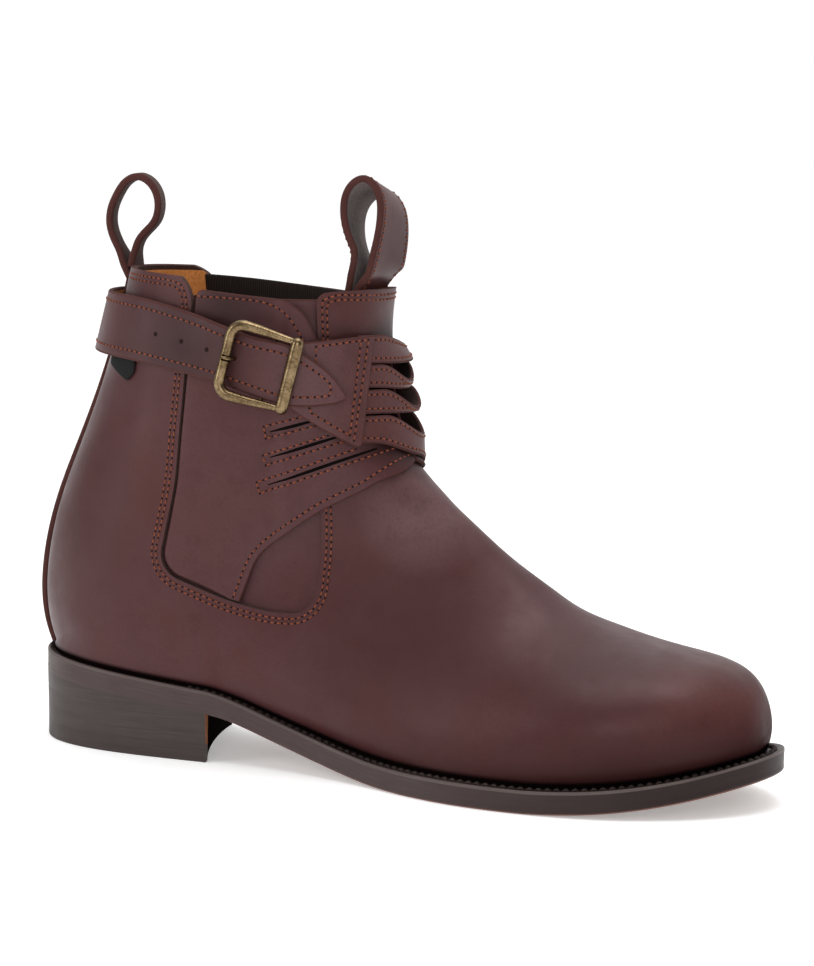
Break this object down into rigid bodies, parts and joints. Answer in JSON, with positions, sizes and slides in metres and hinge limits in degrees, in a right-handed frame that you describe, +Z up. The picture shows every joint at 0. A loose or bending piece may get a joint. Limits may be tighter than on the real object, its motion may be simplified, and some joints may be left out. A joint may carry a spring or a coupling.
{
  "type": "ankle boot",
  "caption": "Right leather ankle boot with a hollow upper, side cut-outs, a buckled strap round the ankle, folded front bands, pull loops and a welted sole with a stacked heel.",
  "frame": {"origin": "on the floor, under the middle of the boot's length and width", "axes": "+X towards the toe, +Y towards the inner side of the foot, +Z up"},
  "size_m": [0.3055, 0.1015, 0.2245],
  "materials": {
    "oiled_leather": "dark reddish brown oiled leather, satin",
    "strap_leather": "dark reddish brown leather with cut edges, satin",
    "insole_leather": "tan leather, matt",
    "sole_edge": "dark stained sole leather, waxed edge",
    "heel_rubber": "dark rubber, matt",
    "elastic": "dark brown ribbed elastic",
    "antique_brass": "antique brass, worn bright on its edges",
    "black_cloth": "black woven cloth"
  },
  "bodies": {
    "root": {"outsole": "sole_edge", "welt": "sole_edge", "heel_stack": "sole_edge", "heel_top_lift": "heel_rubber", "insole": "insole_leather", "upper": "oiled_leather", "back_strip": "oiled_leather", "gusset_outer": "oiled_leather", "gore_inner": "elastic", "flap_outer": "oiled_leather", "flap_inner": "oiled_leather", "front_band_1": "strap_leather", "front_band_2": "strap_leather", "front_band_3": "strap_leather", "front_band_4": "strap_leather", "buckle_patch": "strap_leather", "strap": "strap_leather", "buckle_frame": "antique_brass", "buckle_prong": "antique_brass", "pull_loop_front": "strap_leather", "pull_loop_back": "strap_leather", "side_tab": "black_cloth"}
  },
  "joints": []
}
